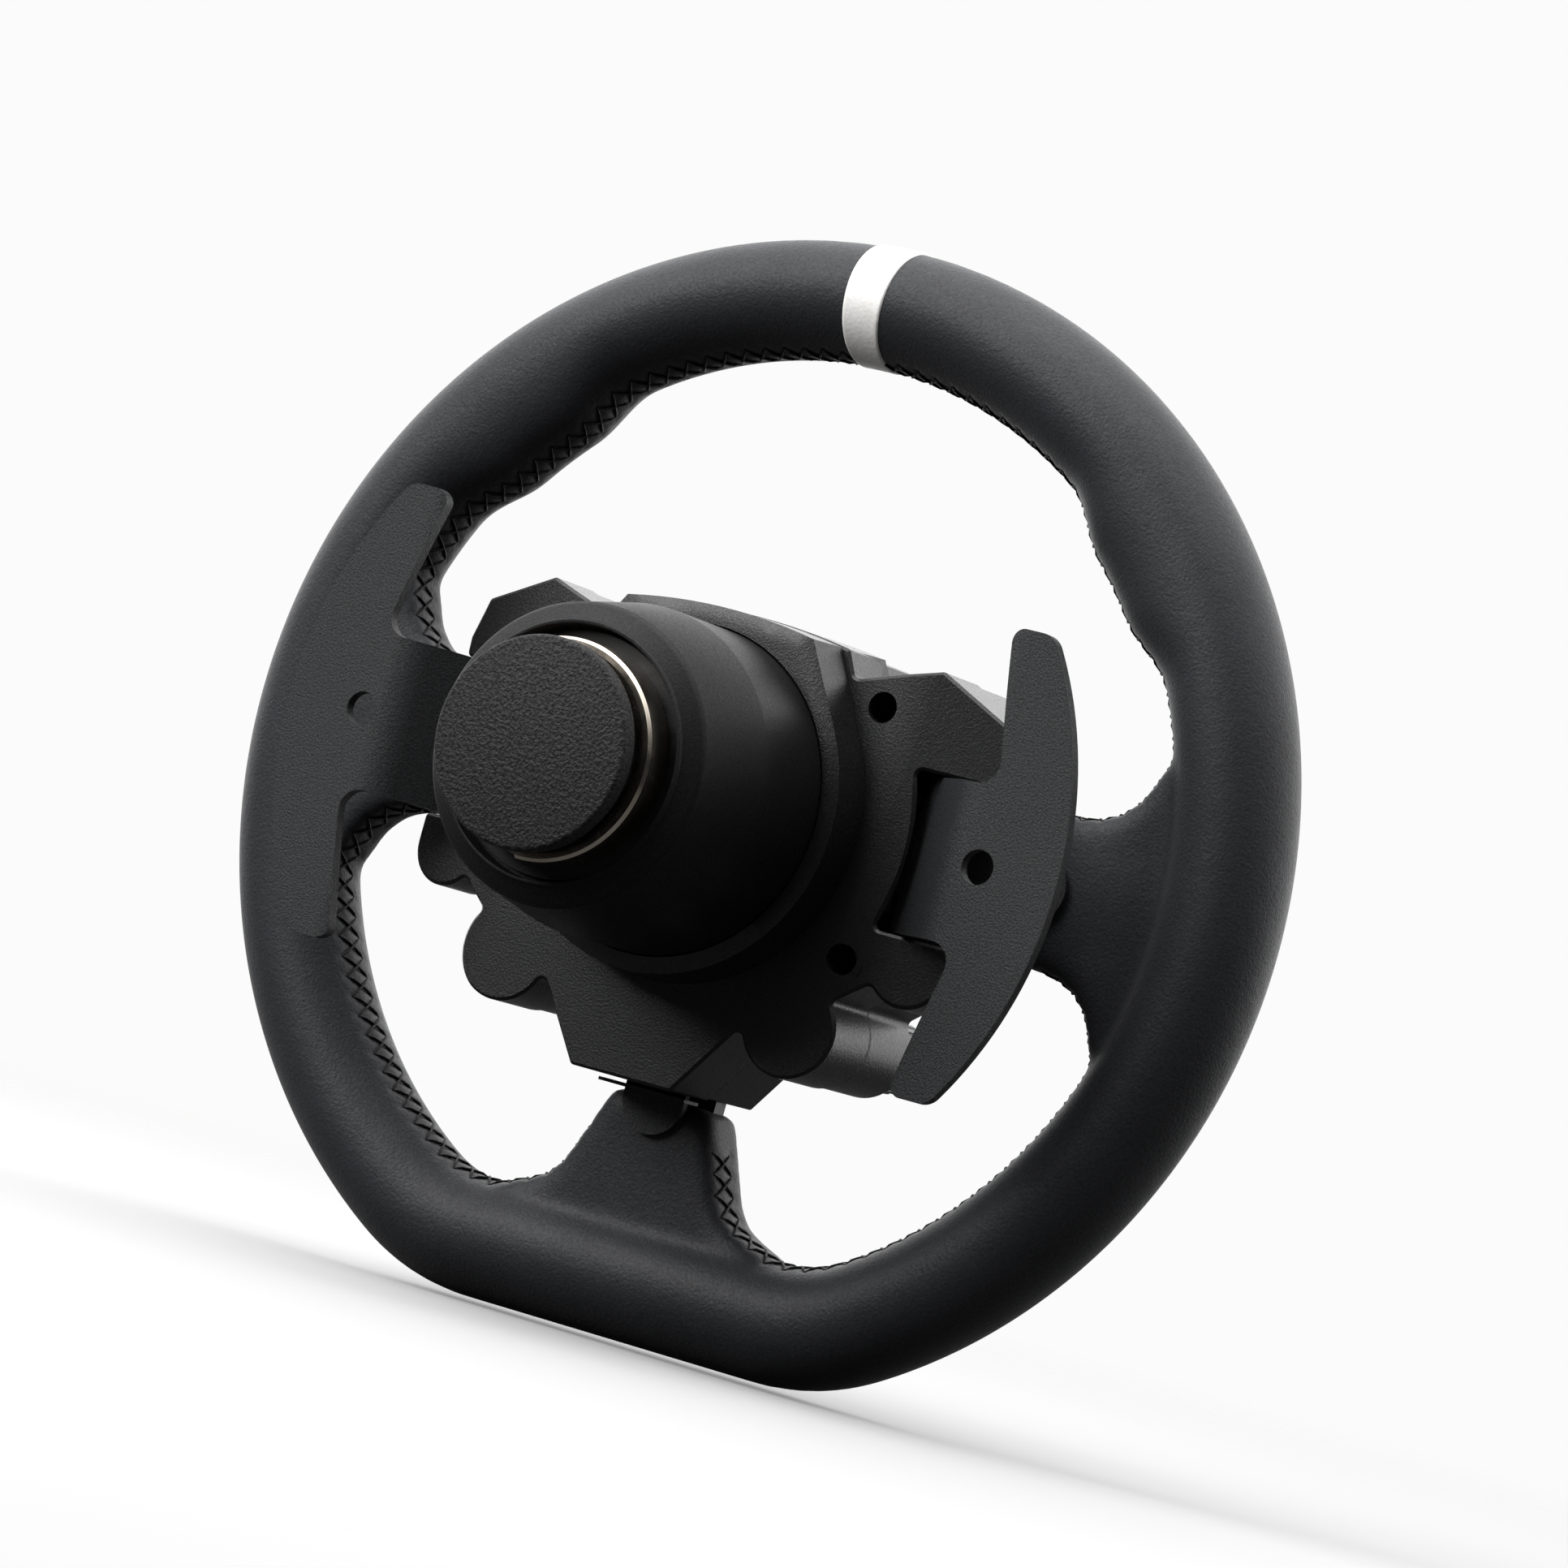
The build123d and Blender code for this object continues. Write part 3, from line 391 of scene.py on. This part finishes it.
def softened(node_name, width, segments=2):
    """A CAD node's shape with its sharp edges rounded, as moulding or tumbling leaves them."""
    bm = node_shape(node_name)
    bmesh.ops.dissolve_limit(bm, angle_limit=math.radians(FLAT_DEG), verts=bm.verts, edges=bm.edges)
    sharp = [e for e in bm.edges
             if len(e.link_faces) == 2 and e.calc_face_angle(0) > math.radians(EDGE_DEG)]
    bevel_edges(bm, sharp, width, segments)
    return bm


def lies_on(vert, radius, y):
    """Whether a point is on the circle of that radius and height about the wheel's axis."""
    return abs(vert.co.y - y) < 1e-3 and abs(math.hypot(vert.co.x, vert.co.z) - radius) < 1e-3


def turned(points, rounds):
    """A piece turned about the wheel's axis from (radius, y) points.

    rounds gives the edge radius of some of the points, by their place in the list.
    """
    bm = bmesh.new()
    profile = [bm.verts.new((radius, y, 0)) for radius, y in points]
    for k in range(len(points)):
        after = (k + 1) % len(points)
        if points[k][0] > 0 or points[after][0] > 0:
            bm.edges.new((profile[k], profile[after]))
    bmesh.ops.spin(bm, geom=bm.verts[:] + bm.edges[:], cent=(0, 0, 0), axis=(0, 1, 0), dvec=(0, 0, 0),
                   angle=2 * math.pi, steps=TURN_STEPS, use_merge=True, use_normal_flip=False,
                   use_duplicate=False)
    tidy(bm)
    for index, width in rounds.items():
        loop = [e for e in bm.edges if all(lies_on(v, *points[index]) for v in e.verts)]
        bevel_edges(bm, loop, width, 3)
    return bm


# ---- rim ----------------------------------------------------------------------------------------------
CORNER_Z = FLAT_Z + CORNER_R                          # centre of the arcs beside the flat
CORNER_X = math.sqrt((RING_R - CORNER_R) ** 2 - CORNER_Z ** 2)
ARC_TURN = math.atan2(CORNER_X, CORNER_Z)             # how far the main arc runs from the top
TUBE_SIDES, ARC_STEPS, CORNER_STEPS, FLAT_STEPS = 56, 110, 12, 20
SPOKE_DEPTH = 9.0                                     # half a spoke's padding, front to back
SPOKE_ROUND = 3.5
SIDE_SPOKE_EDGE = [(SPOKE_END, 18.5), (89.5, 18.7), (96.2, 21.4), (101.0, 26.3), (104.0, 33.5),
                   (108.0, 40.0), (126, 40)]
LOW_SPOKE_EDGE = [(13.6, -70.2), (22.0, -90.5), (25.5, -94.8), (31.0, -97.4), (37.0, -99.5), (37.0, -116)]
VOXEL = 1.15                                          # fineness at which tube and spokes are joined
SMOOTH_PASSES = 14
THUMB_RISE = 5.0                                      # how far the thumb rests swell inwards
THUMB_FROM, THUMB_TO, THUMB_FADE = 33.0, 52.0, 10.0   # degrees above the side spokes
THUMB_WRAP = 0.35                                     # share of the swelling left on the tube's crown


def sweep_ring(bm, ring, centre_x, centre_z, angle, steps):
    """Turns a ring of edges about an axis along Y and returns the last ring."""
    made = bmesh.ops.spin(bm, geom=ring, cent=(centre_x, RIM_Y, centre_z), axis=(0, 1, 0), dvec=(0, 0, 0),
                          angle=angle, steps=steps, use_merge=False, use_normal_flip=False,
                          use_duplicate=False)
    return made["geom_last"]


def section_at_top(bm, sides, proud):
    """The grip's oval section at the top of the rim, made larger all round by proud."""
    points = bmesh.ops.create_circle(bm, segments=sides, radius=1.0, cap_ends=False)["verts"]
    thick, depth = GRIP_THICK + proud, GRIP_DEPTH + proud
    oval = Matrix(((0, 0, 1, 0), (depth, 0, 0, RIM_Y), (0, thick, 0, RING_R), (0, 0, 0, 1)))
    bmesh.ops.transform(bm, matrix=oval, verts=points)
    return points


def grip_tube(bm):
    """The plain padded tube of the rim: two long arcs, two corner arcs and the flat."""
    ring = section_at_top(bm, TUBE_SIDES, 0.0) + bm.edges[:]
    ring = sweep_ring(bm, ring, 0, 0, ARC_TURN, ARC_STEPS)
    ring = sweep_ring(bm, ring, CORNER_X, CORNER_Z, math.pi - ARC_TURN, CORNER_STEPS)
    for step in range(FLAT_STEPS):
        made = bmesh.ops.extrude_edge_only(bm, edges=only(ring, BMEdge))["geom"]
        points = only(made, BMVert)
        last = set(points)
        ring = points + [e for e in bm.edges if e.verts[0] in last and e.verts[1] in last]
        bmesh.ops.translate(bm, verts=points, vec=(-2 * CORNER_X / FLAT_STEPS, 0, 0))
    ring = sweep_ring(bm, ring, -CORNER_X, CORNER_Z, math.pi - ARC_TURN, CORNER_STEPS)
    sweep_ring(bm, ring, 0, 0, ARC_TURN, ARC_STEPS)
    tidy(bm)


def spoke_slab(bm, outline):
    """A padded spoke: an outline in the rim's plane, thickened front to back and rounded at its edges."""
    points = [bm.verts.new((x, RIM_Y - SPOKE_DEPTH, z)) for x, z in outline]
    face = bm.faces.new(points)
    far = only(bmesh.ops.extrude_face_region(bm, geom=[face])["geom"], BMVert)
    bmesh.ops.translate(bm, verts=far, vec=(0, 2 * SPOKE_DEPTH, 0))
    made = set(points) | set(far)
    faces = [f for f in bm.faces if f.verts[0] in made]
    bmesh.ops.recalc_face_normals(bm, faces=faces)
    rims = [e for e in bm.edges if e.verts[0] in made and abs(e.verts[0].co.y - e.verts[1].co.y) < 0.1]
    bevel_edges(bm, rims, SPOKE_ROUND, 3)


def fused(bm, name):
    """The closed union of overlapping shells, as one even mesh."""
    mesh = bpy.data.meshes.new(name)
    bm.to_mesh(mesh)
    bm.free()
    rough = add_object(name, mesh)
    remesh = rough.modifiers.new("fuse", "REMESH")
    remesh.mode, remesh.voxel_size = "VOXEL", VOXEL
    whole = bpy.data.meshes.new_from_object(rough.evaluated_get(bpy.context.evaluated_depsgraph_get()))
    bpy.data.objects.remove(rough)
    joined = bmesh.new()
    joined.from_mesh(whole)
    return joined


def clamped(share):
    return max(0.0, min(1.0, share))


def shape_thumb_rests(bm):
    """Swells the inside of the grip where the thumbs lie, above each side spoke."""
    for vert in bm.verts:
        out = math.hypot(vert.co.x, vert.co.z)
        rise = math.degrees(math.atan2(vert.co.z, abs(vert.co.x)))
        near = (clamped((rise - THUMB_FROM) / THUMB_FADE + 0.5)
                * clamped((THUMB_TO - rise) / THUMB_FADE + 0.5))
        near = near * near * (3 - 2 * near)
        inward = clamped((RING_R - out) / GRIP_THICK + THUMB_WRAP)
        if near and inward:
            shift = THUMB_RISE * near * inward
            vert.co.x -= shift * vert.co.x / out
            vert.co.z -= shift * vert.co.z / out


def rim_leather():
    """The leather of the rim and its three spokes: one skin, smoothed as padding smooths it."""
    bm = bmesh.new()
    grip_tube(bm)
    for side in (-1, 1):
        spoke_slab(bm, [(side * x, z) for x, z in SIDE_SPOKE_EDGE]
                   + [(side * x, -z) for x, z in reversed(SIDE_SPOKE_EDGE)])
    spoke_slab(bm, LOW_SPOKE_EDGE + [(-x, z) for x, z in reversed(LOW_SPOKE_EDGE)])
    bm = fused(bm, "grip blank")
    shape_thumb_rests(bm)
    for step in range(SMOOTH_PASSES):
        bmesh.ops.smooth_vert(bm, verts=bm.verts, factor=0.5, use_axis_x=True, use_axis_y=True,
                              use_axis_z=True)
    return bm


rim_bm = rim_leather()
rim_tree = BVHTree.FromBMesh(rim_bm)


def window_line(bm):
    """The inside edge of the grip in the rim's middle plane, as closely spaced points in order."""
    cut = bm.copy()
    made = bmesh.ops.bisect_plane(cut, geom=cut.verts[:] + cut.edges[:] + cut.faces[:], dist=1e-4,
                                  plane_co=(0, RIM_Y, 0), plane_no=(0, 1, 0))["geom_cut"]
    edges = only(made, BMEdge)
    at_top = [v for e in edges for v in e.verts if abs(v.co.x) < 2 and v.co.z > 0]
    on_cut, line, seen = set(edges), [], set()
    here = min(at_top, key=lambda v: v.co.z)
    while here:
        seen.add(here)
        line.append(here.co.copy())
        here = next((e.other_vert(here) for e in here.link_edges
                     if e in on_cut and e.other_vert(here) not in seen), None)
    cut.free()
    return line


def even_stations(line, pitch):
    """Points along a closed line, evenly spaced at about the pitch."""
    closed = line + line[:1]
    lengths = [(b - a).length for a, b in zip(closed, closed[1:])]
    total = sum(lengths)
    count = round(total / pitch)
    stations, index, gone = [], 0, 0.0
    for k in range(count):
        want = total * k / count
        while gone + lengths[index] < want:
            gone += lengths[index]
            index += 1
        stations.append(closed[index].lerp(closed[index + 1], (want - gone) / lengths[index]))
    return stations


STITCH_PITCH, THREAD_R = 5.2, 0.34
ROW_HALF = 4.2                                        # half the distance between the two rows of holes
SEAM_SHIFT = 2.4                                      # the seam lies a little behind the middle plane
PULL_REACH, PULL_DEPTH = 1.7, 0.45                    # how widely and deeply a thread draws the leather in
THREAD_STEPS, THREAD_SIDES = 5, 6
HOLE_SINK, LIE = -0.5, 0.05                           # a thread's height in its holes and on the leather
PROBE_START, PROBE_LENGTH = 12, 30                    # a ray from the window back to the leather
SHARPEST_TURN = 0.4                                   # cosine of the sharpest turn between two stitches


def on_leather(point, inward, depth):
    """Where the leather lies beside a point of the middle plane, at a depth from it, and its normal."""
    start = point + inward * PROBE_START + Vector((0, depth, 0))
    return rim_tree.ray_cast(start, -inward, PROBE_LENGTH)[:2]


def lay_thread(bm, points, normals):
    """A thread laid along points on the leather, its ends pulled down into their holes."""
    rings = []
    end = len(points) - 1
    for k, (point, normal) in enumerate(zip(points, normals)):
        along = (points[min(k + 1, end)] - points[max(k - 1, 0)]).normalized()
        height = HOLE_SINK if k in (0, end) else LIE
        across = along.cross(normal).normalized()
        up = across.cross(along).normalized()
        turn = Matrix((across, up, along)).transposed().to_4x4()
        ring = bmesh.ops.create_circle(bm, segments=THREAD_SIDES, radius=THREAD_R, cap_ends=False,
                                       matrix=Matrix.Translation(point + normal * height) @ turn)
        rings.append(ring["verts"])
    for low, high in zip(rings, rings[1:]):
        sides = [e for ring in (low, high) for e in {e for v in ring for e in v.link_edges}
                 if all(v in ring for v in e.verts)]
        bmesh.ops.bridge_loops(bm, edges=sides)


def at_spoke_end(point):
    """Whether a point is where the casing covers the end of a spoke, so that no stitch shows."""
    return ((abs(point.x) < SPOKE_END + 6 and abs(point.z) < 25)
            or (abs(point.x) < 20 and -80 < point.z < 0))


def cross_stitches():
    """Black thread lacing the leather's two edges together, and the points that it runs over.

    It crosses over between two rows of holes.
    """
    bm = bmesh.new()
    laid = []
    stations = even_stations(window_line(rim_bm), STITCH_PITCH)
    count = len(stations)
    rows = []
    for k, point in enumerate(stations):
        along = (stations[(k + 1) % count] - stations[k - 1]).normalized()
        inward = Vector((-along.z, 0, along.x))
        if rim_tree.ray_cast(point - inward * 0.5, inward, 5)[0]:
            inward = -inward
        rows.append((point, inward))
    for k in range(count):
        (p0, n0), (p1, n1) = rows[k], rows[(k + 1) % count]
        if at_spoke_end(p0) or n0.dot(n1) < SHARPEST_TURN:
            continue
        for first, last in ((-ROW_HALF, ROW_HALF), (ROW_HALF, -ROW_HALF)):
            points, normals = [], []
            for step in range(THREAD_STEPS + 1):
                part = step / THREAD_STEPS
                hit, normal = on_leather(p0.lerp(p1, part), n0.lerp(n1, part).normalized(),
                                         SEAM_SHIFT + first + (last - first) * part)
                if hit:
                    points.append(hit)
                    normals.append(normal)
            if len(points) == THREAD_STEPS + 1:
                lay_thread(bm, points, normals)
                laid.extend(points)
    bmesh.ops.recalc_face_normals(bm, faces=bm.faces)
    return bm, laid


def draw_leather_in(bm, laid):
    """Pulls the leather down along the threads, so it puffs up between them."""
    threads = KDTree(len(laid))
    for k, point in enumerate(laid):
        threads.insert(point, k)
    threads.balance()
    bm.normal_update()
    for vert in bm.verts:
        if abs(vert.co.y - RIM_Y - SEAM_SHIFT) < ROW_HALF + PULL_REACH:
            gap = threads.find(vert.co)[2]
            if gap is not None and gap < PULL_REACH:
                vert.co -= vert.normal * PULL_DEPTH * (1 - gap / PULL_REACH)


stitching, laid_points = cross_stitches()
draw_leather_in(rim_bm, laid_points)
finish_piece(stitching, "grip_stitching", THREAD, "wheel", sharp_deg=80)

STRIPE_HALF, STRIPE_PROUD, STRIPE_ROUND = 5.2, 0.35, 0.55
STRIPE_SIDES, STRIPE_STEPS = 96, 10


def centre_stripe():
    """The white leather band at the top of the rim, its edges turned under."""
    bm = bmesh.new()
    start = section_at_top(bm, STRIPE_SIDES, STRIPE_PROUD)
    half_turn = STRIPE_HALF / RING_R
    bmesh.ops.rotate(bm, verts=start, cent=(0, RIM_Y, 0), matrix=Matrix.Rotation(-half_turn, 3, "Y"))
    first = bm.edges[:]
    last = sweep_ring(bm, start + first, 0, 0, 2 * half_turn, STRIPE_STEPS)
    for edges in (first, only(last, BMEdge)):
        bmesh.ops.contextual_create(bm, geom=edges)
    tidy(bm)
    ends = [f for f in bm.faces if len(f.verts) == STRIPE_SIDES]
    bevel_edges(bm, list({e for f in ends for e in f.edges}), STRIPE_ROUND, 3)
    return bm


finish_piece(centre_stripe(), "centre_stripe", WHITE_LEATHER, "wheel", "rim_stripe")
finish_piece(rim_bm, "leather_grip", LEATHER, "wheel", "rim_grip", sharp_deg=180)


# ---- casing and paddles -------------------------------------------------------------------------------
REAR_ROUND, FRONT_ROUND, PADDLE_ROUND = 0.8, 0.6, 0.28

finish_piece(softened("rear_casing", REAR_ROUND, 3), "rear_shell", ABS, "wheel",
             "rear_casing", sharp_deg=50, crisp=True)
finish_piece(softened("front_casing", FRONT_ROUND), "front_shell", ABS, "wheel",
             "front_casing", sharp_deg=50, crisp=True)
for side in ("left", "right"):
    finish_piece(softened(f"paddle_{side}", PADDLE_ROUND), f"shift_paddle_{side}", POWDER, f"paddle_{side}",
                 f"paddle_{side}", sharp_deg=50, crisp=True)


# ---- quick release ------------------------------------------------------------------------------------
COLLAR_BORE_R = 36.3                                  # inside of the sleeve
COLLAR_STRAIGHT = 39.9                                # where the sleeve begins to taper
NOSE_R, NOSE_Y = 35.5, 62.8                           # where the taper ends
LIP_Y = 66.9                                          # the foremost edge, round the mouth
MOUTH_R, MOUTH_FLOOR_Y, MOUTH_FLOOR_R = 29.9, 61.2, 27.3
BALL_LAND_R, BALL_LAND_FROM, BALL_LAND_TO = 26.05, 46.2, 53.9
CAP_DISC = 4.5                                        # thickness of the cap's disc
CAP_NECK_R, CAP_NECK_Y = 19, 71
PLUG_R, PLUG_FROM, PLUG_TO = 20.95, 62.8, 70
PLUG_TIP_R = 20.2


def collar():
    """The release collar: a sleeve, a taper, a small bevel and a dished nose round the mouth."""
    out, back = collar_high.x, collar_low.y
    return turned([(COLLAR_BORE_R, back), (out, back), (out, COLLAR_STRAIGHT), (NOSE_R, NOSE_Y),
                   (34.8, 63.8), (31.0, 66.0), (30.7, LIP_Y), (MOUTH_R, LIP_Y), (MOUTH_R, MOUTH_FLOOR_Y),
                   (MOUTH_FLOOR_R, MOUTH_FLOOR_Y), (BALL_LAND_R, BALL_LAND_TO),
                   (BALL_LAND_R, BALL_LAND_FROM), (COLLAR_BORE_R, BALL_LAND_FROM)],
                  {1: 0.5, 2: 0.45, 3: 0.25, 4: 0.4, 6: 0.15, 7: 0.15})


def cap():
    """The push-in dust cap: a thick disc on a neck with a plug that fills the bore."""
    disc, face = cap_high.x, cap_high.y
    under = face - CAP_DISC
    return turned([(0, cap_low.y), (PLUG_TIP_R, cap_low.y), (PLUG_R, PLUG_FROM), (PLUG_R, PLUG_TO),
                   (CAP_NECK_R, CAP_NECK_Y), (CAP_NECK_R, under), (disc, under), (disc, face), (0, face)],
                  {6: 0.5, 7: 0.9})


def return_spring():
    """The collar's coil spring, which in the real wheel closes up as the collar slides back; here it keeps
    its shape.
    """
    spring = finish_piece(node_shape("collar_spring"), "return_spring", FINISHES["spring_steel"], "wheel",
                          "collar_spring")
    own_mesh(spring)


return_spring()
finish_piece(collar(), "collar", ANODISE, "collar", "release_collar")
finish_piece(cap(), "cap", RUBBER, "cap", "dust_cap")


# ---- floor and light ----------------------------------------------------------------------------------
FLOOR_Z = (grip_low.z - 1.0) * MM
FLOOR_R = 1.1                                         # in metres, like the lights
FADE_FROM, FADE_TO = 0.4, 0.98                        # where the floor fades out, as shares of its radius
FLOOR_GLOW = 0.20
BRIGHT_SIDE = Vector((0.15, -0.62, 0.77)).normalized()       # the way from the wheel to the brightest wall
DIM_AT, BRIGHT_AT = -0.15, 0.65                       # how squarely a wall faces that side, as a cosine
DIM, BRIGHT = 0.02, 2.3                               # how strongly such walls light the wheel


def pale_floor():
    """A round of white paper that melts into the room's white at its edge."""
    bm = bmesh.new()
    bmesh.ops.create_circle(bm, cap_ends=True, segments=64, radius=FLOOR_R)
    mesh = bpy.data.meshes.new("floor")
    bm.to_mesh(mesh)
    bm.free()
    mesh.transform(Matrix.Translation((0, 0, FLOOR_Z)))
    material, tree, body, place = start_material("matt white paper", Roughness=0.9, Specular_IOR_Level=0.1)
    seen = add_node(tree, "ShaderNodeLightPath").outputs["Is Camera Ray"]
    two_tones(tree, body, seen, "#3a3a3a", "#929292")
    body.inputs["Emission Color"].default_value = linear("#ffffff")
    glow = add_node(tree, "ShaderNodeMath", {0: seen, 1: FLOOR_GLOW}, operation="MULTIPLY")
    tree.links.new(glow.outputs[0], body.inputs["Emission Strength"])
    flat = add_node(tree, "ShaderNodeVectorMath", {0: place, 1: (1, 1, 0)}, operation="MULTIPLY")
    out = add_node(tree, "ShaderNodeVectorMath", {0: flat.outputs["Vector"]}, operation="LENGTH")
    fade = add_node(tree, "ShaderNodeMapRange",
                    {"Value": out.outputs["Value"], "From Min": FLOOR_R * FADE_FROM,
                     "From Max": FLOOR_R * FADE_TO, "To Min": 1.0, "To Max": 0.0},
                    interpolation_type="SMOOTHSTEP")
    tree.links.new(fade.outputs["Result"], body.inputs["Alpha"])
    mesh.materials.append(material)
    add_object("floor", mesh)


def softbox(name, at, width, height, power):
    """A rectangular lamp aimed at the wheel's middle; metres and watts."""
    data = bpy.data.lights.new(name, "AREA")
    data.shape, data.size, data.size_y, data.energy = "RECTANGLE", width, height, power
    light = add_object(name, data)
    aim = (-Vector(at)).to_track_quat("-Z", "Y").to_matrix().to_4x4()
    light.matrix_world = Matrix.Translation(at) @ aim


def studio_air():
    """A near-white room to look at.

    It lights the wheel from above and from the driver's side, and is dark on the side of the quick release.
    """
    world = bpy.data.worlds.new("studio")
    bpy.context.scene.world = world
    world.use_nodes = True
    tree = world.node_tree
    tree.nodes.clear()
    seen = add_node(tree, "ShaderNodeBackground", {"Color": linear("#fbfbfb"), "Strength": 1.0})
    place = add_node(tree, "ShaderNodeTexCoord")
    toward = add_node(tree, "ShaderNodeVectorMath", {0: place.outputs["Generated"], 1: BRIGHT_SIDE},
                      operation="DOT_PRODUCT")
    lift = add_node(tree, "ShaderNodeMapRange",
                    {"Value": toward.outputs["Value"], "From Min": DIM_AT, "From Max": BRIGHT_AT,
                     "To Min": DIM, "To Max": BRIGHT}, interpolation_type="SMOOTHSTEP")
    lights = add_node(tree, "ShaderNodeBackground",
                      {"Color": linear("#ffffff"), "Strength": lift.outputs["Result"]})
    path = add_node(tree, "ShaderNodeLightPath")
    mix = add_node(tree, "ShaderNodeMixShader", {0: path.outputs["Is Camera Ray"], 1: lights.outputs[0],
                                                 2: seen.outputs[0]})
    add_node(tree, "ShaderNodeOutputWorld", {"Surface": mix.outputs[0]})


pale_floor()
studio_air()
softbox("key_front", (0.85, 1.2, 0.95), 1.2, 1.2, 38)
softbox("overhead", (0.1, 0.3, 1.5), 1.2, 1.0, 14)
bpy.context.scene.view_settings.view_transform = "Standard"
